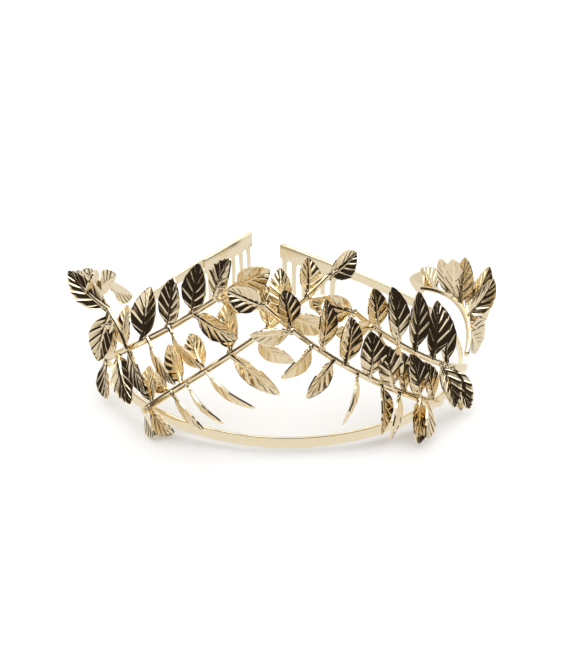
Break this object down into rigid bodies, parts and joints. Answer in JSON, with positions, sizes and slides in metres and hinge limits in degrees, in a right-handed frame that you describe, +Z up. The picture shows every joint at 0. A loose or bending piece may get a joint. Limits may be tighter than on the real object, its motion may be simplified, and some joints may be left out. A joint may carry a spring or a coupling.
{
  "type": "bridal tiara",
  "caption": "Polished gold-tone leaf circlet: open strip band with stamped leaf sprays on its outer face and a hair comb at each end.",
  "frame": {"origin": "on the surface that it stands on, under the middle of its bounding box", "axes": "+Z up, -Y towards the front of the circlet, +X towards its left-hand side as worn"},
  "size_m": [0.1844, 0.1746, 0.0768],
  "materials": {
    "band_metal": "polished, pale gold plate",
    "comb_metal": "satin, pale gold plate",
    "leaf_metal": "mirror polished gold plate, embossed veins"
  },
  "bodies": {
    "root": {"band": "band_metal", "comb_left": "comb_metal", "comb_right": "comb_metal", "spray_left_lower": "leaf_metal", "spray_left_upper": "leaf_metal", "spray_left_side": "leaf_metal", "spray_right_lower": "leaf_metal", "spray_right_upper": "leaf_metal", "spray_right_side": "leaf_metal"}
  },
  "joints": []
}
